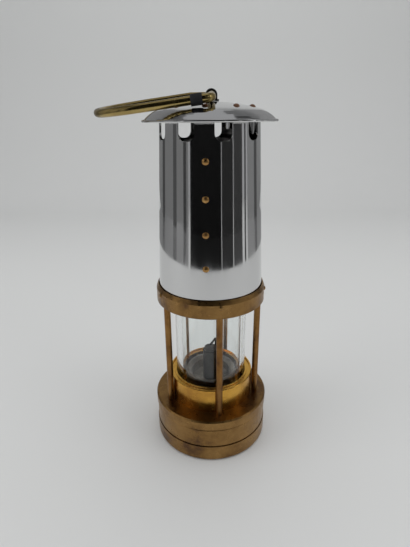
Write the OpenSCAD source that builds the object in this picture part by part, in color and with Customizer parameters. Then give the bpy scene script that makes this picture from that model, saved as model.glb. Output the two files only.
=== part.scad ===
// Flame safety lamp: fuel vessel, glass in a cage of pillars, bonnet, lid and hook.
// The axis of the lamp is Z. The origin is the middle of the plane that it stands on.

/* [Foot and fuel vessel] */
// Outer radius of the foot
foot_r = 41.8; // [41:0.2:46]
// Height of the foot
foot_h = 12.4; // [11.6:0.2:18]
// Radius of the foot's rounded lower edge
foot_edge_r = 2.4; // [0.6:0.2:3]
// Width of the rim that the lamp stands on
foot_rim_w = 3.4; // [3:0.2:6]
// Depth of the recess beneath the foot
recess_h = 9; // [8.6:0.1:10]
// Thickness of the foot's floor
floor_t = 1.4; // [0.8:0.2:2]
// Outer radius of the fuel vessel's drum
vessel_r = 41.4; // [40.6:0.1:41.8]
// Height of the fuel vessel's drum
vessel_h = 14.5; // [12:0.5:24]
// Thickness of the drum's wall
vessel_t = 1.2; // [0.8:0.1:2]
// Depth of the groove where the drum meets the foot
groove_d = 0.5; // [0.2:0.1:0.7]
// Height of the groove where the drum meets the foot
groove_h = 0.8; // [0.4:0.1:1.2]
// Outer radius of the screwed neck
neck_r = 24.6; // [24:0.1:25.4]
// Height of the screwed neck
neck_h = 13; // [9:0.5:13.5]
// Wall of the screwed neck
neck_t = 4; // [3:0.2:4.6]

/* [Burner] */
// Outer radius of the burner dish
dish_r = 18.7; // [17:0.1:19.4]
// Height of the dish's rim above the drum
dish_h = 26.3; // [20:0.5:30]
// Width of the dish's flat rim
dish_rim_w = 1.5; // [0.8:0.1:2]
// Radius of the dish's bowl
bowl_r = 14.5; // [13.4:0.1:15]
// Depth of the dish's bowl
bowl_h = 8.5; // [6:0.5:10]
// Height of the sloping step between the rim and the bowl
bowl_step_h = 2.2; // [1:0.2:3]
// Outer radius of the wick tube
wick_tube_r = 5.8; // [5:0.1:6.2]
// Height of the wick tube above the dish's floor
wick_tube_h = 23.5; // [16:0.5:30]
// Wall of the wick tube
wick_tube_t = 0.9; // [0.6:0.1:1.2]
// Height of the wick above its tube
wick_out = 2; // [1:0.5:3]
// Distance of the pricker from the lamp's axis
pricker_at = 10.6; // [10:0.1:11]
// Direction of the pricker round the lamp, in degrees from the front
pricker_az = 158; // [120:1:200]
// Radius of the pricker's wire
pricker_r = 0.8; // [0.5:0.1:0.9]
// Gap between the pricker's arm and the wick
pricker_gap = 1.4; // [1:0.1:3]
// Radius of the pricker's knob
knob_r = 5; // [3.5:0.5:7]
// Height of the pricker's knob
knob_h = 2.5; // [1.5:0.5:2.5]
// Distance of the filler plug from the lamp's axis
filler_at = 22; // [20:0.5:26]
// Radius of the filler plug's thread
filler_r = 5; // [4:0.5:6]
// Radius of the filler plug's head
filler_head_r = 7.5; // [7:0.5:9]

/* [Cage] */
// Outer radius of the lower ring
lower_ring_r = 42; // [41:0.2:45]
// Height of the lower ring
lower_ring_h = 7.2; // [6:0.2:10]
// Width of the bevel on the lower ring's upper edge
lower_bevel = 0.9; // [0.3:0.1:1.5]
// Outer radius of the gallery
gallery_r = 31; // [30:0.1:31]
// Height of the gallery above the lower ring
gallery_h = 18; // [16:0.5:24]
// Outer radius of the gallery's spigot in the lower ring
spigot_r = 27.4; // [27:0.1:28]
// Number of pillars
pillar_n = 5; // [3:1:6]
// Radius of a pillar
pillar_r = 2.25; // [1.8:0.05:2.3]
// Height of the pillars between the two rings
pillar_h = 77.4; // [60:0.2:100]
// Radius of the circle that the pillars stand on
pillar_at = 33.6; // [33.4:0.1:34]
// Direction of the first pillar, in degrees from the front
pillar_az = 10.5; // [0:0.5:30]
// Radius of the thread at each end of a pillar
pillar_end_r = 1.6; // [1.2:0.1:1.7]
// Length of the thread at each end of a pillar
pillar_end_h = 4.5; // [3:0.5:5]
// Outer radius of the middle ring
mid_ring_r = 37.8; // [37.7:0.1:40]
// Height of the middle ring below its bevelled neck
mid_ring_h = 9.6; // [8:0.2:12]
// Height of the bevelled neck
mid_neck_h = 2.8; // [2:0.2:4]
// Height of the middle ring's floor above its underside
mid_floor_h = 6.2; // [5.5:0.1:6.6]
// Radius of a ring screw's head
screw_head_r = 1.7; // [1.2:0.1:2]
// Radius of a ring screw's thread
screw_r = 0.9; // [0.6:0.1:1]

/* [Glass] */
// Outer radius of the glass
glass_r = 25.7; // [25:0.1:26.4]
// Wall of the glass
glass_t = 4.2; // [3:0.1:4.4]
// Depth of the pocket that the glass stands in
glass_pocket_h = 10.4; // [6:0.2:11]
// Depth of the pocket that holds the top of the glass
glass_top_pocket_h = 2.7; // [2.2:0.1:3.4]
// Thickness of a glass washer
washer_t = 1.2; // [0.8:0.1:1.5]

/* [Bonnet] */
// Outer radius of the bonnet at its foot
bonnet_low_r = 36; // [35.4:0.1:36.4]
// Outer radius of the bonnet at the level of the lid's rim
bonnet_top_r = 30.9; // [29:0.1:31.4]
// Height from the bonnet's foot to the level of the lid's rim
bonnet_h = 111; // [90:1:130]
// Thickness of the bonnet's sheet
bonnet_t = 0.8; // [0.6:0.1:1]
// Number of air slots
slot_n = 9; // [6:1:10]
// Direction of the first air slot, in degrees from the front
slot_az = 15; // [0:1:40]
// Width of an air slot
slot_w = 10.4; // [7:0.1:11]
// Radius of the air slots' lower corners
slot_corner_r = 4.2; // [2:0.1:5]
// Depth of the air slots below the level of the lid's rim
slot_h = 10.8; // [8:0.2:20]
// Inner radius of the tabs that hold the lid
tab_r = 22; // [20:0.5:23.5]
// Number of rivets in the bonnet's seam
seam_n = 4; // [3:1:5]
// Direction of the seam's rivets, in degrees from the front
seam_az = -4; // [-20:1:20]
// Height of the lowest seam rivet above the bonnet's foot
seam_low_h = 26.8; // [16:0.2:30]
// Distance from one seam rivet to the next
seam_pitch = 21; // [12:0.2:21]
// Width of the lap, as an angle round the lamp
seam_lap = 26; // [16:1:40]
// Radius of a seam rivet's head
seam_head_r = 2.3; // [1.8:0.1:2.6]
// Height of a seam rivet's head
seam_head_h = 1.3; // [0.8:0.1:1.6]
// Radius of the shank of every rivet
rivet_r = 1.1; // [0.8:0.1:1.2]
// Thickness of the flat inner head of every rivet
flat_head_t = 0.6; // [0.4:0.1:0.8]
// Radius of the outer gauze at its foot
gauze_low_r = 27; // [26:0.2:28]
// Radius of the outer gauze at its top
gauze_top_r = 20; // [15:0.5:22]
// Height of the outer gauze
gauze_h = 92; // [70:1:92]
// Thickness of each gauze
gauze_t = 0.7; // [0.5:0.1:0.8]
// Gap between the two gauzes
gauze_gap = 2; // [1.2:0.1:2.4]
// Thickness of the ring that carries the gauzes
gauze_ring_t = 1.6; // [1:0.1:2]

/* [Lid] */
// Outer radius of the lid
lid_r = 41.5; // [39:0.1:44]
// Thickness of the lid's sheet
lid_t = 1; // [0.8:0.1:1.2]
// Radius of curvature of the lid's crown
crown_r = 115; // [100:1:160]
// Radius at which the crown turns down into the shoulder
break_r = 30.5; // [30:0.1:33]
// Radius of curvature of the shoulder
shoulder_r = 20; // [18:0.5:30]
// Radius of the bead on the lid's rim
bead_r = 0.8; // [0.6:0.1:1.2]
// Radius of the circle of lid rivets
lid_rivet_at = 26.2; // [25.5:0.1:27]
// Radius of a lid rivet's head
lid_head_r = 1.9; // [1.5:0.1:2.2]
// Height of a lid rivet's head
lid_head_h = 1.1; // [0.8:0.1:1.2]

/* [Hook] */
// Radius of the swivel stud
stud_r = 2; // [1.5:0.1:2.5]
// Half the length of the swivel plate
plate_r = 5.6; // [5.2:0.1:7]
// Width of the swivel plate
plate_w = 3.8; // [3.4:0.1:4.4]
// Thickness of the swivel plate
plate_t = 1; // [0.8:0.1:1.2]
// Radius of the staple's wire
staple_wire_r = 0.8; // [0.6:0.1:1]
// Radius of the hook where it turns in the staple
journal_r = 1.7; // [1.4:0.1:2]
// Radius of the hook's rod
rod_r = 2.4; // [2.1:0.1:2.6]
// Distance from the lid's crest to the axis of the journal
journal_h = 3.6; // [3.6:0.1:6]
// Half the length of the journal
journal_l = 2.6; // [2.5:0.1:3.2]
// Distance from the lamp's axis to the journal
journal_at = 1; // [0:0.1:1.5]
// Length of the heel behind the journal
heel_l = 3.2; // [2:0.1:5]
// Radius of the hook's bow, to the middle of the rod
bow_r = 29.5; // [29:0.5:36]
// Distance from the journal to the middle of the bow
bow_at = 39.4; // [36:0.2:60]
// Radius of the corner between the hook's foot and its near side
corner_r = 5; // [4:0.5:9]
// Length of the hook's straight far side
far_side_l = 26; // [5:0.5:28]
// Length of the tapered point
point_l = 9; // [4:0.5:10]
// Radius of the tapered point's end
point_r = 1.3; // [1:0.1:1.6]
// Angle that the bow hangs below level
droop = 7.5; // [4:0.5:8.5]
// Angle that the far side is raised
cant = 5; // [2:0.5:5.5]
// Length of the sleeve
sleeve_l = 6.4; // [4:0.2:10]
// Wall of the sleeve
sleeve_t = 0.75; // [0.5:0.05:0.8]

/* [Hidden] */

$fn = 96;
// Smallest overlap that makes a cut go cleanly through a face
eps = 0.05;
// Running gap between pieces that turn or slide on each other
run_gap = 0.3;
// Radial clearance of a shaft in its hole
shaft_gap = 0.08;
// Distance from a rivet's flat inner head to the curved sheet at its middle
seat_gap = 0.1;
// Reach of a rivet hole to each side of the sheet
hole_reach = 4;
// Gap left round the cotton packing and the wick
loose_gap = 0.3;
// Steps in each rounded stretch of an outline
arc_steps = 8;

// Levels, from the ground up
floor_top = recess_h + floor_t;
vessel_top = foot_h + vessel_h;
neck_top = vessel_top + neck_h;
dish_top = vessel_top + dish_h;
ring_z = vessel_top + run_gap;
ring_top = ring_z + lower_ring_h;
gallery_top = ring_top + gallery_h;
ledge_z = gallery_top - glass_pocket_h;
mid_z = ring_top + pillar_h;
mid_floor = mid_z + mid_floor_h;
mid_top = mid_z + mid_ring_h + mid_neck_h;
glass_z = ledge_z + run_gap + washer_t;
glass_top = mid_z + glass_top_pocket_h - run_gap - washer_t;
bonnet_z = mid_floor;
rim_z = bonnet_z + bonnet_h;

// Neck, ledge and pockets
neck_bore = neck_r - neck_t;
thread_bore = neck_r + run_gap;
pocket_r = glass_r + 0.4;
glass_bore = glass_r - glass_t;
ledge_r = glass_bore + 0.1;
washer_in_r = ledge_r + 0.2;
ledge_t = 1.4;
mid_bore = bonnet_low_r + 0.2;
mid_lip = 0.5;

// Lid: a shallow crown and a rounder shoulder that meet without a crease
break_a = asin(break_r / crown_r);
shoulder_at = break_r - shoulder_r * sin(break_a);
rim_a = asin((lid_r - bead_r - shoulder_at) / shoulder_r);
crown_drop = crown_r * (1 - cos(break_a));
shoulder_drop = shoulder_r * (cos(break_a) - cos(rim_a));
crest_z = rim_z + crown_drop + shoulder_drop;
crown_mid_z = crest_z - crown_r;
shoulder_mid_z = crest_z - crown_drop - shoulder_r * cos(break_a);

// Height of a crown surface that lies a depth d beneath the lid's upper face
function crown_z(r, d = 0) = crown_mid_z + sqrt(pow(crown_r - d, 2) - r * r);

// Outer radius of the bonnet at height z
function bonnet_wall(z) = bonnet_low_r + (bonnet_top_r - bonnet_low_r) * (z - bonnet_z) / bonnet_h;

// Where the bonnet's wall turns in under the lid
bend_z = crown_z(bonnet_wall(crown_z(bonnet_top_r, lid_t)), lid_t);
bend_r = bonnet_wall(bend_z);

slot_step = 360 / slot_n;
pillar_step = 360 / pillar_n;
slot_z = rim_z - slot_h;

// Gauzes
inner_gauze_low_r = gauze_low_r - gauze_gap;
inner_gauze_top_r = gauze_top_r - gauze_gap;
inner_gauze_h = gauze_h - 3 * gauze_gap;
gauze_z = mid_floor + gauze_ring_t;
gauze_flange_w = 2;

// Burner and pricker
dish_floor_z = dish_top - bowl_h;
dish_floor_t = 1.2;
dish_flange_h = 3;
dish_foot_z = neck_top - 6;
wick_tube_top = dish_floor_z + wick_tube_h;
wick_tube_foot = foot_h + 4;
wick_r = wick_tube_r - wick_tube_t - loose_gap / 2;
wick_top = wick_tube_top + wick_out;
guide_bore = pricker_r + run_gap;
guide_r = guide_bore + 0.8;
gland_r = guide_bore + 1;
gland_h = 3.6;
socket_r = gland_r + run_gap;
socket_wall_r = socket_r + 0.8;
socket_z = recess_h - 1.4;
socket_h = gland_h + 2 * run_gap;
pricker_arm_z = wick_top + pricker_gap + pricker_r;
pricker_bend_r = 2;
knob_z = 1.2;
filler_head_h = 2;
filler_washer_t = 0.6;
filler_thread_h = 3;
filler_slot_w = 1.6;
filler_slot_d = 1;

// Swivel and hook
plate_gap = 0.2;
plate_z = crest_z + plate_gap;
stud_head_r = stud_r + 1.4;
stud_head_h = 1.2;
swivel_washer_t = 0.8;
under_crest_z = crest_z - lid_t;
swivel_washer_z = under_crest_z - run_gap - swivel_washer_t;
journal_z = crest_z + journal_h;
staple_gap = 0.35;
staple_bow_r = journal_r + staple_gap + staple_wire_r;

// Points on an arc about [cx, cy], with angles measured from the level line
function arc(cx, cy, r, a0, a1, n = arc_steps) =
    [for (i = [0 : n]) [cx + r * cos(a0 + (a1 - a0) * i / n), cy + r * sin(a0 + (a1 - a0) * i / n)]];

function reversed(list) = [for (i = [len(list) - 1 : -1 : 0]) list[i]];

// Outline of the lid's sheet at a depth d beneath its upper face, from the axis to the rim
function lid_line(d) = concat(
    arc(0, crown_mid_z, crown_r - d, 90, 90 - break_a),
    arc(shoulder_at, shoulder_mid_z, shoulder_r - d, 90 - break_a, 90 - rim_a)
);

// Turns its children to direction az and moves them out to radius r
module around(az, r = 0) {
    rotate([0, 0, az])
        translate([0, -r, 0])
            children();
}

// Tube that stands on height z
module tube(z, h, r, bore) {
    translate([0, 0, z])
        difference() {
            cylinder(h = h, r = r);
            translate([0, 0, -eps])
                cylinder(h = h + 2 * eps, r = bore);
        }
}

// Rivet or screw with a domed head, which stands on the plane z = 0 with its shank below
module domed_pin(head_r, head_h, shank_r, shank_l) {
    dome_r = (head_r * head_r + head_h * head_h) / (2 * head_h);
    intersection() {
        cylinder(h = head_h, r = head_r);
        translate([0, 0, head_h - dome_r])
            sphere(r = dome_r);
    }
    translate([0, 0, -shank_l])
        cylinder(h = shank_l, r = shank_r);
}

// Turned brass foot with a recess that clears the knob and the filler plug
module foot() {
    rim_in_r = foot_r - foot_rim_w;
    color("#9a7432")
        difference() {
            rotate_extrude()
                polygon(concat(
                    [[0, recess_h], [rim_in_r, recess_h], [rim_in_r, 0]],
                    arc(foot_r - foot_edge_r, foot_edge_r, foot_edge_r, -90, 0),
                    [
                        [foot_r, foot_h], [vessel_r - vessel_t - 1, foot_h],
                        [vessel_r - vessel_t - 1, floor_top], [0, floor_top]
                    ]
                ));
            around(pricker_az, pricker_at)
                translate([0, 0, recess_h - eps])
                    cylinder(h = floor_t + 2 * eps, r = socket_wall_r);
            around(0, filler_at)
                translate([0, 0, recess_h - eps])
                    cylinder(h = floor_t + 2 * eps, r = filler_r);
        }
}

// Spun drum, open below, with a hole in its top for the neck
module vessel_body() {
    inner_r = vessel_r - vessel_t;
    edge = 0.5;
    color("#94702f")
        rotate_extrude()
            polygon([
                [inner_r, foot_h],
                [vessel_r - groove_d, foot_h],
                [vessel_r - groove_d, foot_h + groove_h],
                [vessel_r, foot_h + groove_h],
                [vessel_r, vessel_top - edge],
                [vessel_r - edge, vessel_top],
                [neck_bore + 1, vessel_top],
                [neck_bore + 1, vessel_top - vessel_t],
                [inner_r, vessel_top - vessel_t]
            ]);
}

// Neck that the cage screws onto
module vessel_neck() {
    edge = 0.6;
    color("#b08a3c")
        rotate_extrude()
            polygon([
                [neck_bore, vessel_top - vessel_t],
                [neck_bore + 1, vessel_top - vessel_t],
                [neck_bore + 1, vessel_top],
                [neck_r, vessel_top],
                [neck_r, neck_top - edge],
                [neck_r - edge, neck_top],
                [neck_bore, neck_top]
            ]);
}

// Cotton that fills the drum and holds the fuel
module fuel_packing() {
    z = floor_top;
    h = vessel_top - vessel_t - loose_gap - z;
    color("#e9e2cf")
        difference() {
            translate([0, 0, z])
                cylinder(h = h, r = vessel_r - vessel_t - 1 - loose_gap);
            translate([0, 0, z - eps])
                cylinder(h = h + 2 * eps, r = wick_tube_r + loose_gap);
            around(pricker_az, pricker_at)
                translate([0, 0, z - eps])
                    cylinder(h = h + 2 * eps, r = socket_wall_r + loose_gap);
            around(0, filler_at)
                translate([0, 0, z - eps])
                    cylinder(h = h + 2 * eps, r = filler_r + loose_gap);
        }
}

// Dish that fits in the neck, with a flat rim, a sloping step and a bowl
module burner_dish() {
    wall = dish_r - bowl_r;
    under_z = dish_floor_z - dish_floor_t;
    color("#6b665c")
        difference() {
            rotate_extrude()
                polygon([
                    [wick_tube_r, under_z],
                    [bowl_r, under_z],
                    [bowl_r, dish_foot_z],
                    [neck_bore, dish_foot_z],
                    [neck_bore, dish_foot_z + dish_flange_h],
                    [dish_r, dish_foot_z + dish_flange_h],
                    [dish_r, dish_top],
                    [dish_r - dish_rim_w, dish_top],
                    [bowl_r, dish_top - bowl_step_h],
                    [bowl_r, dish_floor_z],
                    [wick_tube_r, dish_floor_z]
                ]);
            around(pricker_az, pricker_at)
                translate([0, 0, under_z - eps])
                    cylinder(h = dish_floor_t + 2 * eps, r = guide_r);
        }
}

// Tube that carries the wick from the drum to the flame
module wick_tube() {
    color("#4b4945")
        tube(wick_tube_foot, wick_tube_top - wick_tube_foot, wick_tube_r, wick_tube_r - wick_tube_t);
}

// Round woven wick
module wick() {
    z = floor_top + loose_gap;
    color("#d8cfb8")
        translate([0, 0, z])
            cylinder(h = wick_top - z, r = wick_r);
}

// Slotted plug that closes the filler hole from beneath
module filler_plug() {
    head_z = recess_h - filler_washer_t - filler_head_h;
    color("#b8923f")
        around(0, filler_at)
            difference() {
                union() {
                    translate([0, 0, head_z])
                        cylinder(h = filler_head_h, r = filler_head_r);
                    translate([0, 0, head_z + filler_head_h])
                        cylinder(h = filler_thread_h, r = filler_r);
                }
                translate([-filler_head_r - eps, -filler_slot_w / 2, head_z - eps])
                    cube([2 * filler_head_r + 2 * eps, filler_slot_w, filler_slot_d + eps]);
            }
}

// Leather washer beneath the filler plug's head
module filler_washer() {
    color("#5a4632")
        around(0, filler_at)
            tube(recess_h - filler_washer_t, filler_washer_t, filler_head_r - 0.4, filler_r);
}

// Tube that guides the pricker, with a socket for the gland at its foot
module pricker_tube() {
    socket_top = socket_z + socket_h;
    color("#a8843a")
        around(pricker_az, pricker_at)
            rotate_extrude()
                polygon([
                    [socket_r, socket_z],
                    [socket_wall_r, socket_z],
                    [socket_wall_r, socket_top + 0.8],
                    [guide_r, socket_top + 0.8],
                    [guide_r, dish_floor_z + 1],
                    [guide_bore, dish_floor_z + 1],
                    [guide_bore, socket_top],
                    [socket_r, socket_top]
                ]);
}

// Cork gland that grips the pricker and turns with it
module pricker_gland() {
    color("#a5825a")
        around(pricker_az, pricker_at)
            tube(socket_z + run_gap, gland_h, gland_r, pricker_r + shaft_gap);
}

// Wire that trims the wick: it stands in its guide and bends over the wick
module pricker() {
    stem_z = knob_z + knob_h;
    bend_at = pricker_arm_z - pricker_bend_r;
    color("#5b5a57")
        around(pricker_az, pricker_at) {
            translate([0, 0, stem_z])
                cylinder(h = bend_at - stem_z, r = pricker_r, $fn = 32);
            translate([0, pricker_bend_r, bend_at])
                rotate([90, 0, -90])
                    rotate_extrude(angle = 90, $fn = 48)
                        translate([pricker_bend_r, 0])
                            circle(r = pricker_r, $fn = 32);
            translate([0, pricker_bend_r, pricker_arm_z])
                rotate([-90, 0, 0])
                    cylinder(h = pricker_at - pricker_bend_r, r = pricker_r, $fn = 32);
        }
}

// Milled knob at the pricker's foot
module pricker_knob() {
    notch_n = 16;
    color("#b8923f")
        around(pricker_az, pricker_at)
            difference() {
                translate([0, 0, knob_z])
                    cylinder(h = knob_h, r = knob_r);
                for (i = [0 : notch_n - 1])
                    rotate([0, 0, i * 360 / notch_n])
                        translate([knob_r + 0.25, 0, knob_z - eps])
                            cylinder(h = knob_h + 2 * eps, r = 0.6, $fn = 24);
            }
}

// Thick glass cylinder
module glass() {
    color("#dfeaea", 0.35)
        tube(glass_z, glass_top - glass_z, glass_r, glass_bore);
}

// Washer between the glass and the gallery's ledge
module lower_washer() {
    color("#c9c3b4")
        tube(glass_z - washer_t, washer_t, glass_r, washer_in_r);
}

// Washer between the glass and the middle ring
module upper_washer() {
    color("#c9c3b4")
        tube(glass_top, washer_t, glass_r, washer_in_r);
}

// Heavy lower ring of the cage
module lower_ring() {
    edge = 0.4;
    color("#93702e")
        difference() {
            rotate_extrude()
                polygon([
                    [spigot_r, ring_z],
                    [lower_ring_r - edge, ring_z],
                    [lower_ring_r, ring_z + edge],
                    [lower_ring_r, ring_top - lower_bevel],
                    [lower_ring_r - lower_bevel, ring_top],
                    [spigot_r, ring_top]
                ]);
            for (i = [0 : pillar_n - 1])
                around(pillar_az + i * pillar_step, pillar_at)
                    translate([0, 0, ring_top - pillar_end_h])
                        cylinder(h = pillar_end_h + eps, r = pillar_end_r, $fn = 48);
        }
}

// Bright collar that screws into the lower ring and holds the foot of the glass
module gallery() {
    rim_out_w = 1.3;
    rim_in_w = 1.5;
    rim_step = 0.8;
    edge = 0.4;
    color("#c9952f")
        rotate_extrude()
            polygon([
                [thread_bore, ring_z],
                [spigot_r, ring_z],
                [spigot_r, ring_top],
                [gallery_r, ring_top],
                [gallery_r, gallery_top - edge],
                [gallery_r - edge, gallery_top],
                [gallery_r - rim_out_w, gallery_top],
                [gallery_r - rim_out_w, gallery_top - rim_step],
                [pocket_r + rim_in_w, gallery_top - rim_step],
                [pocket_r + rim_in_w, gallery_top - edge],
                [pocket_r, gallery_top - edge],
                [pocket_r, ledge_z],
                [ledge_r, ledge_z],
                [ledge_r, ledge_z - ledge_t],
                [thread_bore, ledge_z - ledge_t]
            ]);
}

// Upper ring of the cage: it holds the top of the glass and the foot of the bonnet
module middle_ring() {
    side_top = mid_z + mid_ring_h;
    edge = 0.5;
    color("#93702e")
        difference() {
            rotate_extrude()
                polygon([
                    [pocket_r, mid_z],
                    [mid_ring_r - edge, mid_z],
                    [mid_ring_r, mid_z + edge],
                    [mid_ring_r, side_top],
                    [mid_bore + mid_lip, mid_top],
                    [mid_bore, mid_top],
                    [mid_bore, mid_floor],
                    [ledge_r, mid_floor],
                    [ledge_r, mid_z + glass_top_pocket_h],
                    [pocket_r, mid_z + glass_top_pocket_h]
                ]);
            for (i = [0 : pillar_n - 1])
                around(pillar_az + i * pillar_step, pillar_at)
                    translate([0, 0, mid_z - eps])
                        cylinder(h = pillar_end_h + eps, r = pillar_end_r, $fn = 48);
            screw_holes();
        }
}

// Level of the ring screws, which pass through the ring and the foot of the bonnet
screw_z = mid_z + mid_ring_h - 1.6;
screw_l = mid_ring_r - bonnet_low_r + bonnet_t + 1;

module screw_holes() {
    for (i = [0 : pillar_n - 1])
        around(pillar_az + i * pillar_step, bonnet_low_r - 4)
            translate([0, 0, screw_z])
                rotate([90, 0, 0])
                    cylinder(h = 8, r = screw_r, $fn = 32);
}

// Small screws that hold the bonnet in the middle ring
module ring_screws() {
    color("#8a6a30")
        for (i = [0 : pillar_n - 1])
            around(pillar_az + i * pillar_step, mid_ring_r)
                translate([0, 0, screw_z])
                    rotate([90, 0, 0])
                        domed_pin(screw_head_r, 0.9, screw_r, screw_l, $fn = 32);
}

// One pillar, with a thread at each end
module pillar(i) {
    color("#8f6c2c")
        around(pillar_az + (i - 1) * pillar_step, pillar_at) {
            translate([0, 0, ring_top - pillar_end_h])
                cylinder(h = pillar_h + 2 * pillar_end_h, r = pillar_end_r, $fn = 48);
            translate([0, 0, ring_top])
                cylinder(h = pillar_h, r = pillar_r, $fn = 48);
        }
}

// Brass ring that carries the gauzes on the middle ring's floor
module gauze_ring() {
    color("#a8843a")
        tube(mid_floor, gauze_ring_t, gauze_low_r + gauze_flange_w + 1, ledge_r + 1);
}

// Gauze thimble with a flange at its foot and a closed top
module gauze(low_r, top_r, h, flange_r) {
    color("#8b8d8c")
        rotate_extrude()
            polygon([
                [low_r - gauze_t, gauze_z],
                [flange_r, gauze_z],
                [flange_r, gauze_z + gauze_t],
                [low_r, gauze_z + gauze_t],
                [top_r, gauze_z + h],
                [0, gauze_z + h],
                [0, gauze_z + h - gauze_t],
                [top_r - gauze_t, gauze_z + h - gauze_t],
                [low_r - gauze_t, gauze_z + gauze_t]
            ]);
}

module inner_gauze() {
    gauze(inner_gauze_low_r, inner_gauze_top_r, inner_gauze_h, gauze_low_r - gauze_t - 0.2);
}

module outer_gauze() {
    gauze(gauze_low_r, gauze_top_r, gauze_h, gauze_low_r + gauze_flange_w);
}

// One air slot with rounded lower corners, cut outwards from inside the bonnet
module air_slot() {
    half = slot_w / 2 - slot_corner_r;
    top = crest_z - slot_z;
    rotate([90, 0, 0])
        linear_extrude(height = lid_r)
            union() {
                translate([-slot_w / 2, slot_corner_r])
                    square([slot_w, top]);
                translate([-half, 0])
                    square([2 * half, slot_corner_r + eps]);
                for (side = [-1, 1])
                    translate([side * half, slot_corner_r])
                        circle(r = slot_corner_r);
            }
}

// Axes of the lid rivets: one in each tab, square to the crown
module at_lid_rivets(depth = 0) {
    lean = asin(lid_rivet_at / crown_r);
    for (i = [0 : slot_n - 1])
        rotate([0, 0, slot_az + (i + 0.5) * slot_step])
            translate([0, 0, crown_mid_z])
                rotate([lean, 0, 0])
                    translate([0, 0, crown_r - depth])
                        children();
}

// Axes of the seam rivets: square to the bonnet's wall, with the head outside
module at_seam_rivets() {
    slope = atan((bonnet_low_r - bonnet_top_r) / bonnet_h);
    for (i = [0 : seam_n - 1]) {
        z = bonnet_z + seam_low_h + i * seam_pitch;
        around(seam_az, bonnet_wall(z))
            translate([0, 0, z])
                rotate([90 - slope, 0, 0])
                    children();
    }
}

// Tapered sheet bonnet: it is lapped at the seam, slotted at the top, and its tabs turn in under the lid
module bonnet() {
    tab_a = asin(tab_r / (crown_r - lid_t));
    bend_a = asin(bend_r / (crown_r - lid_t));
    tab_top = arc(0, crown_mid_z, crown_r - lid_t, 90 - bend_a, 90 - tab_a, 4);
    tab_under = arc(0, crown_mid_z, crown_r - lid_t - bonnet_t, 90 - tab_a, 90 - bend_a, 4);
    inner_top = [for (p = tab_under) if (p[0] < bend_r - bonnet_t) p];
    color("#c8cbcd")
        difference() {
            union() {
                rotate_extrude()
                    polygon(concat(
                        [[bonnet_low_r - bonnet_t, bonnet_z], [bonnet_low_r, bonnet_z]],
                        tab_top,
                        inner_top,
                        [[bonnet_wall(bend_z - bonnet_t) - bonnet_t, bend_z - bonnet_t]]
                    ));
                seam_lap_strip();
            }
            for (i = [0 : slot_n - 1])
                rotate([0, 0, slot_az + i * slot_step])
                    translate([0, 0, slot_z])
                        air_slot();
            at_lid_rivets()
                cylinder(h = 2 * hole_reach, r = rivet_r, center = true, $fn = 32);
            at_seam_rivets()
                cylinder(h = 2 * hole_reach, r = rivet_r, center = true, $fn = 32);
            screw_holes();
        }
}

// Second thickness of sheet inside the bonnet, where its two edges lap
module seam_lap_strip() {
    z0 = bonnet_z + 2;
    z1 = slot_z - 2;
    in0 = bonnet_wall(z0) - bonnet_t;
    in1 = bonnet_wall(z1) - bonnet_t;
    rotate([0, 0, seam_az - seam_lap / 2 - 90])
        rotate_extrude(angle = seam_lap)
            polygon([[in0 - bonnet_t, z0], [in0 + eps, z0], [in1 + eps, z1], [in1 - bonnet_t, z1]]);
}

// Seam rivets, each with a domed head outside and a flat one inside
module bonnet_rivets() {
    through = 2 * bonnet_t + seat_gap;
    color("#a07a38")
        at_seam_rivets() {
            domed_pin(seam_head_r, seam_head_h, rivet_r, through, $fn = 48);
            translate([0, 0, -through - flat_head_t])
                cylinder(h = flat_head_t, r = seam_head_r - 0.4, $fn = 48);
        }
}

// Domed lid with a beaded rim and a hole for the swivel stud
module lid() {
    color("#d4d7d9")
        difference() {
            union() {
                rotate_extrude()
                    polygon(concat(lid_line(0), reversed(lid_line(lid_t))));
                rotate_extrude()
                    translate([lid_r - bead_r, rim_z])
                        circle(r = bead_r, $fn = 32);
            }
            translate([0, 0, under_crest_z - 2])
                cylinder(h = 6, r = stud_r + shaft_gap);
            at_lid_rivets()
                cylinder(h = 2 * hole_reach, r = rivet_r, center = true, $fn = 32);
        }
}

// Lid rivets, each with a domed head above the lid and a flat one beneath the tab
module lid_rivets() {
    through = lid_t + bonnet_t + seat_gap;
    color("#c08a4a") {
        at_lid_rivets()
            domed_pin(lid_head_r, lid_head_h, rivet_r, through, $fn = 32);
        at_lid_rivets(through + flat_head_t)
            cylinder(h = flat_head_t, r = lid_head_r - 0.2, $fn = 32);
    }
}

// Narrow plate that turns on the lid's crest and carries the staple
module swivel_plate() {
    color("#2c2c2d")
        translate([0, 0, plate_z])
            intersection() {
                cylinder(h = plate_t, r = plate_r);
                translate([-plate_r, -plate_w / 2, 0])
                    cube([2 * plate_r, plate_w, plate_t]);
            }
}

// Wire staple that the hook's foot turns in
module hook_staple() {
    leg_z = plate_z + plate_t;
    color("#222223") {
        for (side = [-1, 1])
            translate([journal_at + side * staple_bow_r, 0, leg_z])
                cylinder(h = journal_z - leg_z, r = staple_wire_r, $fn = 32);
        translate([journal_at, 0, journal_z])
            rotate([90, 0, 0])
                rotate_extrude(angle = 180)
                    translate([staple_bow_r, 0])
                        circle(r = staple_wire_r, $fn = 32);
    }
}

// Stud through the lid, closed over beneath the washer
module swivel_stud() {
    color("#3a3a3b") {
        translate([0, 0, swivel_washer_z])
            cylinder(h = plate_z - swivel_washer_z, r = stud_r);
        translate([0, 0, swivel_washer_z - stud_head_h])
            cylinder(h = stud_head_h, r = stud_head_r);
    }
}

// Washer beneath the lid
module swivel_washer() {
    color("#8f9294")
        tube(swivel_washer_z, swivel_washer_t, stud_head_r + 1.2, stud_r);
}

// Bend in the hook's rod, which starts on the X axis
module rod_bend(r, turn) {
    rotate_extrude(angle = turn)
        translate([r, 0])
            circle(r = rod_r, $fn = 48);
}

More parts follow.
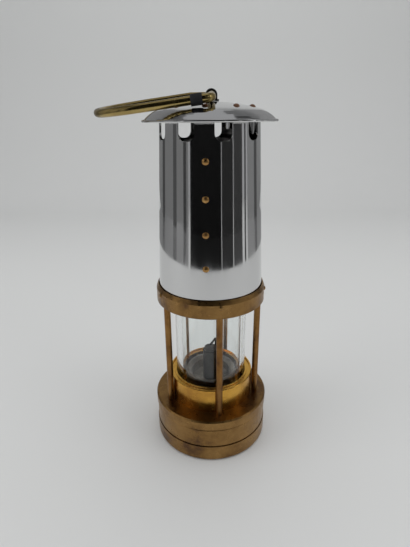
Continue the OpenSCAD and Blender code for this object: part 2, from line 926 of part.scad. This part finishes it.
// Places its children in the plane of the hook, with the journal's middle as origin
module in_hook_plane() {
    translate([journal_at, 0, journal_z])
        rotate([0, -droop, 0])
            rotate([cant, 0, 0])
                children();
}

// Open hook: heel, journal, foot, corner, near side, bow, far side and point
module hook() {
    foot_l = bow_r - corner_r - journal_l;
    color("#a98a3c")
        in_hook_plane() {
            rotate([-90, 0, 0]) {
                cylinder(h = 2 * journal_l, r = journal_r, center = true, $fn = 48);
                translate([0, 0, -journal_l - foot_l])
                    cylinder(h = foot_l, r = rod_r, $fn = 48);
                translate([0, 0, journal_l])
                    cylinder(h = heel_l, r = rod_r, $fn = 48);
                translate([0, 0, journal_l + heel_l])
                    sphere(r = rod_r, $fn = 48);
            }
            translate([-corner_r, corner_r - bow_r, 0])
                rotate([0, 0, -90])
                    rod_bend(corner_r, 90);
            translate([-corner_r, -bow_r, 0])
                rotate([0, -90, 0])
                    cylinder(h = bow_at - corner_r, r = rod_r, $fn = 48);
            translate([-bow_at, 0, 0])
                rotate([0, 0, 90])
                    rod_bend(bow_r, 180);
            translate([-bow_at, bow_r, 0])
                rotate([0, 90, 0]) {
                    cylinder(h = far_side_l, r = rod_r, $fn = 48);
                    translate([0, 0, far_side_l])
                        cylinder(h = point_l, r1 = rod_r, r2 = point_r, $fn = 48);
                    translate([0, 0, far_side_l + point_l])
                        sphere(r = point_r, $fn = 48);
                }
        }
}

// Short sleeve on the near side of the hook
module hook_sleeve() {
    color("#1c1c1e")
        in_hook_plane()
            translate([-corner_r, -bow_r, 0])
                rotate([0, -90, 0])
                    tube(0, sleeve_l, rod_r + sleeve_t, rod_r);
}

foot();
vessel_body();
vessel_neck();
fuel_packing();
burner_dish();
wick_tube();
wick();
filler_plug();
filler_washer();
pricker_tube();
pricker_gland();
pricker();
pricker_knob();
glass();
lower_washer();
upper_washer();
lower_ring();
gallery();
middle_ring();
ring_screws();
pillar(1);  // pillar_1
pillar(2);  // pillar_2
pillar(3);  // pillar_3
pillar(4);  // pillar_4
pillar(5);  // pillar_5
gauze_ring();
inner_gauze();
outer_gauze();
bonnet();
bonnet_rivets();
lid();
lid_rivets();
swivel_plate();
hook_staple();
swivel_stud();
swivel_washer();
hook();
hook_sleeve();
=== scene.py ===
import math

import bmesh
import bpy
from mathutils import Matrix, Vector


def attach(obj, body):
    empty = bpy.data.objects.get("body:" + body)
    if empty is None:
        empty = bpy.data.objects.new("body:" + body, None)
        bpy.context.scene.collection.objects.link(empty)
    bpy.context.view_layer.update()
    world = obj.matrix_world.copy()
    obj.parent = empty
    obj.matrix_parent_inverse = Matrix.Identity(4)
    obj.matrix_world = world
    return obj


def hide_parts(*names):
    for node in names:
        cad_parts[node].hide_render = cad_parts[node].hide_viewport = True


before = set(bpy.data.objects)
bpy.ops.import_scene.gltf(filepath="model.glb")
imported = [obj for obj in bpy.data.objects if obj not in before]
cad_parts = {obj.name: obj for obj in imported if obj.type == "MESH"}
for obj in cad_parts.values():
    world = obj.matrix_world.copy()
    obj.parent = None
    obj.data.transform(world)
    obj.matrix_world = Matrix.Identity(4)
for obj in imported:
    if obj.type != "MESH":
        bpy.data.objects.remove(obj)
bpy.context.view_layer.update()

# Camera: it stands in front of the lamp, a little higher than the lid, and looks down at the cage.
# The frame is 410 by 547 pixels, and the lens gives a focal length of 400 of them.
frame_width = 410
sensor_width = 36
focal_pixels = 400
eye = Vector((0.0023, -0.2619, 0.2303))
pitch = math.radians(21.2)
yaw = math.radians(-1.33)
roll = math.radians(-0.54)
forward = Vector((math.sin(yaw) * math.cos(pitch), math.cos(yaw) * math.cos(pitch), -math.sin(pitch)))
level_right = Vector((math.cos(yaw), -math.sin(yaw), 0))
level_up = level_right.cross(forward)
right = math.cos(roll) * level_right + math.sin(roll) * level_up
up = math.cos(roll) * level_up - math.sin(roll) * level_right
camera = bpy.data.objects.new("camera", bpy.data.cameras.new("camera"))
bpy.context.scene.collection.objects.link(camera)
camera.data.sensor_fit = "HORIZONTAL"
camera.data.sensor_width = sensor_width
camera.data.lens = sensor_width * focal_pixels / frame_width
camera.data.clip_start = 0.01
turned = Matrix((right, up, -forward)).transposed().to_4x4()
camera.matrix_world = Matrix.Translation(eye) @ turned
bpy.context.scene.camera = camera
bpy.context.scene.view_settings.view_transform = "Standard"


# Floor and backdrop: one pale sheet that runs back from the lamp and curves up behind it.
# It is a thin sheet of paper, swept from a single line of points.
def new_object(name, mesh_maker):
    mesh = bpy.data.meshes.new(name)
    bm = bmesh.new()
    mesh_maker(bm)
    bm.to_mesh(mesh)
    bm.free()
    piece = bpy.data.objects.new(name, mesh)
    bpy.context.scene.collection.objects.link(piece)
    return piece


def plain(name, colour, roughness):
    material = bpy.data.materials.new(name)
    material.use_nodes = True
    shader = material.node_tree.nodes["Principled BSDF"]
    shader.inputs["Base Color"].default_value = (*colour, 1)
    shader.inputs["Roughness"].default_value = roughness
    return material


sheet_half = 1.6
sheet_front = -1.4
sheet_back = 0.75
sheet_curve = 0.45
sheet_top = 1.7
curve_steps = 16


def sweep_sheet(bm):
    line = [Vector((-sheet_half, sheet_front, 0)), Vector((-sheet_half, sheet_back, 0))]
    for step in range(1, curve_steps + 1):
        turn = step / curve_steps * math.pi / 2
        line.append(Vector((-sheet_half, sheet_back + sheet_curve * math.sin(turn),
                            sheet_curve * (1 - math.cos(turn)))))
    line.append(Vector((-sheet_half, sheet_back + sheet_curve, sheet_top)))
    verts = [bm.verts.new(point) for point in line]
    edges = [bm.edges.new(pair) for pair in zip(verts, verts[1:])]
    swept = bmesh.ops.extrude_edge_only(bm, edges=edges)
    moved = [item for item in swept["geom"] if isinstance(item, bmesh.types.BMVert)]
    bmesh.ops.translate(bm, vec=(2 * sheet_half, 0, 0), verts=moved)
    for face in bm.faces:
        face.smooth = True
        if face.normal.z < 0 or face.normal.y > 0:
            face.normal_flip()


backdrop = new_object("backdrop", sweep_sheet)
backdrop.data.materials.append(plain("pale_paper", (0.75, 0.755, 0.745), 0.8))

# Light: a white world, a wide soft panel above and one on each side, as in a small tent.
# Black and grey panels stand round the lamp, and show only in metal and glass.
world = bpy.data.worlds.new("tent")
world.use_nodes = True
world.node_tree.nodes["Background"].inputs["Color"].default_value = (0.92, 0.93, 0.95, 1)
world.node_tree.nodes["Background"].inputs["Strength"].default_value = 0.42
bpy.context.scene.world = world
light_aim = Vector((0, 0, 0.12))
soft_lights = (
    ("top", (0.1, 0.1, 1.3), 1.2, 6),
    ("left", (-1.1, -0.4, 0.7), 0.8, 3.4),
    ("right", (1.1, -0.5, 0.8), 0.8, 2.6),
)
for name, place, size, power in soft_lights:
    lamp = bpy.data.objects.new("light_" + name, bpy.data.lights.new("light_" + name, "AREA"))
    lamp.data.size = size
    lamp.data.energy = power
    lamp.location = place
    lamp.rotation_euler = (light_aim - Vector(place)).to_track_quat("-Z", "Y").to_euler()
    lamp.visible_glossy = name != "top"
    bpy.context.scene.collection.objects.link(lamp)

# Reflected panels: each is a bent sheet, given by the directions it spans, its distance and its grey.
# Directions are in degrees round the lamp, from the front towards the right.
panel_top = 2.4
panel_foot = 0.55
panel_lift = 0.002
panel_steps = 12
panels = (
    ("front", -42, 24, 0.9, 0.004),
    ("front_right", 25.2, 50, 0.9, 0.03),
    ("right", 51.5, 73, 0.9, 0.06),
    ("right_narrow", 79, 83, 0.9, 0.05),
    ("right_grey", 88, 165, 1.0, 0.36),
    ("left_streak", -58, -51, 0.9, 0.07),
    ("left", -86, -76, 0.9, 0.12),
    ("left_grey", -165, -46, 1.0, 0.30),
    ("side_right", 112, 124, 0.9, 0.12),
    ("side_left", -128, -116, 0.9, 0.1),
)
for name, from_az, to_az, panel_r, shade in panels:

    def bend_panel(bm):
        start = math.radians(from_az - 90)
        line = [(panel_foot, panel_lift), (panel_r, panel_lift), (panel_r, panel_top)]
        verts = [bm.verts.new((r * math.cos(start), r * math.sin(start), z)) for r, z in line]
        edges = [bm.edges.new(pair) for pair in zip(verts, verts[1:])]
        bmesh.ops.spin(bm, geom=[*verts, *edges], cent=(0, 0, 0), axis=(0, 0, 1),
                       angle=math.radians(to_az - from_az), steps=panel_steps, use_merge=False)

    panel = new_object("panel_" + name, bend_panel)
    panel.data.materials.append(plain("panel_" + name, (shade, shade, shade), 0.9))
    panel.visible_camera = False
    panel.visible_diffuse = False
    panel.visible_shadow = False
    panel.visible_transmission = False


# Foot: heavy turned brass with a rounded lower edge, gone brown with age and handling.
# The drum above it is spun from sheet brass and holds the fuel. A grain finer than the blotches
# sets how rough the skin is.
grain_ratio = 9
grain_depth = 0.0004


def link(tree, source, target):
    tree.links.new(source, target)


def aged_metal(name, light, dark, patch, smooth, rough, patch_scale, bump):
    material = bpy.data.materials.new(name)
    material.use_nodes = True
    tree = material.node_tree
    shader = tree.nodes["Principled BSDF"]
    shader.inputs["Metallic"].default_value = 1
    place = tree.nodes.new("ShaderNodeTexCoord")
    blotch = tree.nodes.new("ShaderNodeTexNoise")
    blotch.inputs["Scale"].default_value = patch_scale
    blotch.inputs["Detail"].default_value = 6
    blotch.inputs["Roughness"].default_value = 0.62
    grain = tree.nodes.new("ShaderNodeTexNoise")
    grain.inputs["Scale"].default_value = patch_scale * grain_ratio
    grain.inputs["Detail"].default_value = 4
    ramp = tree.nodes.new("ShaderNodeValToRGB")
    ramp.color_ramp.elements[0].position = 0.32
    ramp.color_ramp.elements[0].color = (*patch, 1)
    ramp.color_ramp.elements[1].position = 0.7
    ramp.color_ramp.elements[1].color = (*light, 1)
    middle = ramp.color_ramp.elements.new(0.46)
    middle.color = (*dark, 1)
    spread = tree.nodes.new("ShaderNodeMapRange")
    spread.inputs["From Min"].default_value = 0.3
    spread.inputs["From Max"].default_value = 0.7
    spread.inputs["To Min"].default_value = rough
    spread.inputs["To Max"].default_value = smooth
    relief = tree.nodes.new("ShaderNodeBump")
    relief.inputs["Strength"].default_value = bump
    relief.inputs["Distance"].default_value = grain_depth
    for noise in (blotch, grain):
        link(tree, place.outputs["Object"], noise.inputs["Vector"])
    link(tree, blotch.outputs["Fac"], ramp.inputs["Fac"])
    link(tree, ramp.outputs["Color"], shader.inputs["Base Color"])
    link(tree, grain.outputs["Fac"], spread.inputs["Value"])
    link(tree, spread.outputs["Result"], shader.inputs["Roughness"])
    link(tree, grain.outputs["Fac"], relief.inputs["Height"])
    link(tree, relief.outputs["Normal"], shader.inputs["Normal"])
    return material


def finish_nodes(material, *names):
    for name in names:
        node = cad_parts[name]
        node.data.materials.clear()
        node.data.materials.append(material)


old_brass = aged_metal("old_brass", (0.41, 0.24, 0.085), (0.27, 0.15, 0.052), (0.10, 0.052, 0.032),
                       0.24, 0.44, 42, 0.25)
finish_nodes(old_brass, "foot", "vessel_body", "lower_ring", "middle_ring", "ring_screws")

# Pillars: drawn brass rod, browner and duller than the rings.
# Each is screwed into the ring below and the ring above.
rod_brass = aged_metal("rod_brass", (0.36, 0.19, 0.06), (0.24, 0.12, 0.04), (0.10, 0.045, 0.025),
                       0.26, 0.45, 60, 0.2)
pillar_count = 5
finish_nodes(rod_brass, *[f"pillar_{number}" for number in range(1, pillar_count + 1)])

# Gallery: turned brass that stays bright behind the pillars, with fine rings on its rim.
# The neck, the plug, the gauze ring and the pricker's knob are turned from the same bar.
gold_brass = aged_metal("gold_brass", (0.84, 0.50, 0.11), (0.70, 0.38, 0.07), (0.42, 0.20, 0.045),
                        0.16, 0.30, 26, 0.12)
finish_nodes(gold_brass, "gallery", "vessel_neck", "filler_plug", "pricker_tube", "pricker_knob",
             "gauze_ring")

# Burner dish: sooty steel with a worn rim. It sits in the neck below the glass.
# The wick tube and the pricker are darker, because they stand next to the flame.
burner_steel = aged_metal("burner_steel", (0.42, 0.38, 0.32), (0.22, 0.19, 0.16), (0.08, 0.07, 0.06),
                          0.28, 0.5, 70, 0.2)
finish_nodes(burner_steel, "burner_dish", "swivel_washer")
soot_steel = aged_metal("soot_steel", (0.10, 0.095, 0.09), (0.05, 0.048, 0.045), (0.02, 0.02, 0.02),
                        0.4, 0.65, 90, 0.3)
finish_nodes(soot_steel, "wick_tube", "pricker")


# Wick and packing: loose cotton yarn. The washers under the glass are pressed fibre, the filler's
# washer is leather, and the pricker's gland is cork.
def soft_stuff(name, light, dark, scale, bump):
    material = aged_metal(name, light, dark, dark, 0.85, 0.95, scale, bump)
    shader = material.node_tree.nodes["Principled BSDF"]
    shader.inputs["Metallic"].default_value = 0
    shader.inputs["Sheen Weight"].default_value = 0.3
    return material


finish_nodes(soft_stuff("cotton", (0.78, 0.72, 0.6), (0.55, 0.48, 0.38), 300, 1), "fuel_packing")
finish_nodes(soft_stuff("burnt_cotton", (0.16, 0.13, 0.1), (0.03, 0.025, 0.02), 300, 1), "wick")
finish_nodes(soft_stuff("fibre", (0.6, 0.57, 0.5), (0.45, 0.42, 0.36), 200, 0.6),
             "lower_washer", "upper_washer")
finish_nodes(soft_stuff("leather", (0.24, 0.14, 0.08), (0.14, 0.08, 0.05), 160, 0.8), "filler_washer")
finish_nodes(soft_stuff("cork", (0.5, 0.34, 0.2), (0.3, 0.19, 0.11), 180, 0.8), "pricker_gland")

# Glass: a thick clear cylinder with ground ends, which stands in the gallery.
# A faint green tint shows at its edges, and a few smears show on its wall.
clear_glass = bpy.data.materials.new("clear_glass")
clear_glass.use_nodes = True
tree = clear_glass.node_tree
shader = tree.nodes["Principled BSDF"]
shader.inputs["Base Color"].default_value = (0.97, 0.99, 0.985, 1)
shader.inputs["Transmission Weight"].default_value = 1
shader.inputs["IOR"].default_value = 1.45
place = tree.nodes.new("ShaderNodeTexCoord")
smear = tree.nodes.new("ShaderNodeTexNoise")
smear.inputs["Scale"].default_value = 35
spread = tree.nodes.new("ShaderNodeMapRange")
spread.inputs["From Min"].default_value = 0.5
spread.inputs["From Max"].default_value = 0.8
spread.inputs["To Min"].default_value = 0
spread.inputs["To Max"].default_value = 0.05
link(tree, place.outputs["Object"], smear.inputs["Vector"])
link(tree, smear.outputs["Fac"], spread.inputs["Value"])
link(tree, spread.outputs["Result"], shader.inputs["Roughness"])
finish_nodes(clear_glass, "glass")


# Gauzes: fine steel wire cloth, closed at the top. They stand inside the bonnet.
# The open weave is a pattern of crossed wires that lets light through between them.
def woven_wire(name, wires_round, wires_up):
    material = aged_metal(name, (0.32, 0.31, 0.3), (0.2, 0.19, 0.18), (0.1, 0.09, 0.08),
                          0.35, 0.55, 80, 0.2)
    tree = material.node_tree
    shader = tree.nodes["Principled BSDF"]
    place = tree.nodes["Texture Coordinate"]
    split = tree.nodes.new("ShaderNodeSeparateXYZ")
    link(tree, place.outputs["Object"], split.inputs["Vector"])
    angle = tree.nodes.new("ShaderNodeMath")
    angle.operation = "ARCTAN2"
    link(tree, split.outputs["Y"], angle.inputs[0])
    link(tree, split.outputs["X"], angle.inputs[1])
    waves = []
    for source, rate in ((angle.outputs[0], wires_round), (split.outputs["Z"], wires_up)):
        scaled = tree.nodes.new("ShaderNodeMath")
        scaled.operation = "MULTIPLY"
        scaled.inputs[1].default_value = rate
        wave = tree.nodes.new("ShaderNodeMath")
        wave.operation = "SINE"
        link(tree, source, scaled.inputs[0])
        link(tree, scaled.outputs[0], wave.inputs[0])
        waves.append(wave)
    wire = tree.nodes.new("ShaderNodeMath")
    wire.operation = "MAXIMUM"
    for index, wave in enumerate(waves):
        link(tree, wave.outputs[0], wire.inputs[index])
    solid = tree.nodes.new("ShaderNodeMapRange")
    solid.inputs["From Min"].default_value = -0.2
    solid.inputs["From Max"].default_value = 0.2
    link(tree, wire.outputs[0], solid.inputs["Value"])
    link(tree, solid.outputs["Result"], shader.inputs["Alpha"])
    return material


finish_nodes(woven_wire("gauze_wire", 150, 5500), "inner_gauze", "outer_gauze")


# Bonnet: thin mirror-polished steel, rolled into a cone, lapped down the front and riveted.
# The lid is pressed from the same sheet. Both carry faint upright wipe marks and a slow ripple.
sheet_patch_scale = 6
ripple_scale = 16
ripple_stretch = (1, 1, 0.3)


def polished(name, colour, streak, low, high, bump, ripple_h):
    material = aged_metal(name, colour, colour, colour, low, high, sheet_patch_scale, bump)
    tree = material.node_tree
    stretch = tree.nodes.new("ShaderNodeMapping")
    stretch.inputs["Scale"].default_value = streak
    grain = tree.nodes["Noise Texture.001"]
    place = tree.nodes["Texture Coordinate"]
    link(tree, place.outputs["Object"], stretch.inputs["Vector"])
    link(tree, stretch.outputs["Vector"], grain.inputs["Vector"])
    waves = tree.nodes.new("ShaderNodeTexNoise")
    waves.inputs["Scale"].default_value = ripple_scale
    waves.inputs["Detail"].default_value = 1
    pull = tree.nodes.new("ShaderNodeMapping")
    pull.inputs["Scale"].default_value = ripple_stretch
    ripple = tree.nodes.new("ShaderNodeBump")
    ripple.inputs["Strength"].default_value = 1
    ripple.inputs["Distance"].default_value = ripple_h
    link(tree, place.outputs["Object"], pull.inputs["Vector"])
    link(tree, pull.outputs["Vector"], waves.inputs["Vector"])
    link(tree, waves.outputs["Fac"], ripple.inputs["Height"])
    link(tree, ripple.outputs["Normal"], tree.nodes["Bump"].inputs["Normal"])
    return material


steel_grey = (0.66, 0.66, 0.66)
mirror_steel = polished("mirror_steel", steel_grey, (2.2, 2.2, 0.12), 0.035, 0.09, 0.03, 0.0006)
lid_steel = polished("lid_steel", steel_grey, (1, 1, 1), 0.05, 0.12, 0.02, 0.0003)
finish_nodes(lid_steel, "lid")

# Bonnet sheet: a cone that turns in as nine tabs under the lid.
# The slots between the tabs have rounded lower corners and let the air out.
bonnet_low_z, bonnet_low_r = 0.118, 0.036
bonnet_bend_z, bonnet_bend_r = 0.2345, 0.03065
bonnet_t = 0.0008
tab_line = ((0.0263, 0.2357), (0.022, 0.2366))
wall_rows = 14
round_steps = 180
slot_count = 9
slot_first_az = 15
slot_w = 0.0104
slot_corner_r = 0.0042
slot_low_z, slot_top_z = 0.2182, 0.2392
slot_reach = 0.044
corner_segments = 8
crease = math.radians(30)


def wall_radius(z):
    share = (z - bonnet_low_z) / (bonnet_bend_z - bonnet_low_z)
    return bonnet_low_r + share * (bonnet_bend_r - bonnet_low_r)


def bonnet_skin(bm):
    rise = (bonnet_bend_z - bonnet_low_z) / wall_rows
    heights = [bonnet_low_z + row * rise for row in range(wall_rows + 1)]
    line = [(wall_radius(z), z) for z in heights] + list(tab_line)
    verts = [bm.verts.new((0, -r, z)) for r, z in line]
    edges = [bm.edges.new(pair) for pair in zip(verts, verts[1:])]
    bmesh.ops.spin(bm, geom=[*verts, *edges], cent=(0, 0, 0), axis=(0, 0, 1), angle=2 * math.pi,
                   steps=round_steps, use_merge=True)
    bmesh.ops.remove_doubles(bm, verts=bm.verts, dist=1e-6)
    bmesh.ops.recalc_face_normals(bm, faces=bm.faces)


def slot_cutters(bm):
    height = slot_top_z - slot_low_z
    for slot in range(slot_count):
        block = bmesh.ops.create_cube(bm, size=1)["verts"]
        bmesh.ops.scale(bm, vec=(slot_w, slot_reach, height), verts=block)
        bmesh.ops.translate(bm, vec=(0, -slot_reach / 2, slot_low_z + height / 2), verts=block)
        edges = {edge for vert in block for edge in vert.link_edges}
        low_edges = [edge for edge in edges
                     if all(vert.co.z < slot_low_z + height / 4 for vert in edge.verts)]
        corners = [edge for edge in low_edges
                   if abs(edge.verts[0].co.x - edge.verts[1].co.x) < slot_w / 4]
        before = set(bm.verts) - set(block)
        bmesh.ops.bevel(bm, geom=corners, offset=slot_corner_r, segments=corner_segments, profile=0.5,
                        affect="EDGES", material=-1)
        turned_block = [vert for vert in bm.verts if vert not in before]
        turn = Matrix.Rotation(math.radians(slot_first_az + slot * 360 / slot_count), 3, "Z")
        bmesh.ops.rotate(bm, cent=(0, 0, 0), matrix=turn, verts=turned_block)


def apply_modifiers(piece):
    shaped = piece.evaluated_get(bpy.context.evaluated_depsgraph_get())
    mesh = bpy.data.meshes.new_from_object(shaped)
    piece.modifiers.clear()
    piece.data = mesh


bonnet = new_object("bonnet_sheet", bonnet_skin)
wall = bonnet.modifiers.new("wall", "SOLIDIFY")
wall.thickness = bonnet_t
wall.offset = -1
apply_modifiers(bonnet)
cutters = new_object("slot_cutters", slot_cutters)
cut = bonnet.modifiers.new("slots", "BOOLEAN")
cut.operation = "DIFFERENCE"
cut.solver = "EXACT"
cut.object = cutters
apply_modifiers(bonnet)
bpy.data.objects.remove(cutters)
bonnet.data.shade_smooth()
bonnet.data.set_sharp_from_angle(angle=crease)
bonnet.data.materials.clear()
bonnet.data.materials.append(mirror_steel)
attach(bonnet, "cage")
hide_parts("bonnet")

# Lap of the bonnet: the outer edge of the rolled sheet, which lies over the inner edge.
# It runs from beside the rivets to its own straight edge on the right.
lap_low_z = 0.1265
lap_high_z = 0.2165
lap_stand = 0.00001
lap_t = 0.0004
lap_from_az, lap_to_az = -14, 10
lap_steps = lap_to_az - lap_from_az


def lap_sheet(bm):
    turn = math.radians(lap_from_az - 90)
    line = [(wall_radius(z) + lap_stand, z) for z in (lap_low_z, lap_high_z)]
    ends = [bm.verts.new((r * math.cos(turn), r * math.sin(turn), z)) for r, z in line]
    edge = bm.edges.new(ends)
    bmesh.ops.spin(bm, geom=[*ends, edge], cent=(0, 0, 0), axis=(0, 0, 1),
                   angle=math.radians(lap_to_az - lap_from_az), steps=lap_steps, use_merge=False)
    bmesh.ops.recalc_face_normals(bm, faces=bm.faces)
    for face in bm.faces:
        if face.normal.dot(face.calc_center_median().xy.to_3d()) < 0:
            face.normal_flip()


lap = new_object("bonnet_lap", lap_sheet)
wall = lap.modifiers.new("wall", "SOLIDIFY")
wall.thickness = lap_t
wall.offset = 1
apply_modifiers(lap)
lap.data.shade_smooth()
lap.data.set_sharp_from_angle(angle=crease)
lap.data.materials.append(mirror_steel)
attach(lap, "cage")

# Rivets: soft brass, hammered to a dome. Those of the lid have turned pink and brown.
# Each head stands on the sheet, and its shank goes through both thicknesses.
rivet_brass = aged_metal("rivet_brass", (0.55, 0.33, 0.12), (0.40, 0.22, 0.08), (0.18, 0.09, 0.05),
                         0.22, 0.4, 120, 0.3)
lid_rivet_brass = aged_metal("lid_rivet_brass", (0.46, 0.26, 0.17), (0.34, 0.18, 0.11), (0.2, 0.1, 0.06),
                             0.3, 0.5, 120, 0.3)
finish_nodes(rivet_brass, "bonnet_rivets")
finish_nodes(lid_rivet_brass, "lid_rivets")

# Swivel: a blackened steel plate, staple and stud. The staple holds the hook's foot.
# The sleeve on the hook is matt black and keeps the hook from scratching the lid.
black_steel = aged_metal("black_steel", (0.05, 0.05, 0.05), (0.03, 0.03, 0.03), (0.015, 0.012, 0.01),
                         0.4, 0.6, 120, 0.4)
finish_nodes(black_steel, "swivel_plate", "hook_staple", "swivel_stud")
sleeve_black = soft_stuff("sleeve_black", (0.022, 0.023, 0.026), (0.012, 0.012, 0.014), 200, 0.4)
sleeve_black.node_tree.nodes["Principled BSDF"].inputs["Sheen Weight"].default_value = 0
finish_nodes(sleeve_black, "hook_sleeve")

# Hook: thick brass rod, bent cold and never lacquered. Its skin is olive gold and slightly pitted.
# It turns in the staple on a thinner journal.
hook_brass = aged_metal("hook_brass", (0.50, 0.38, 0.15), (0.43, 0.32, 0.12), (0.28, 0.20, 0.08),
                        0.16, 0.28, 22, 0.12)
finish_nodes(hook_brass, "hook")
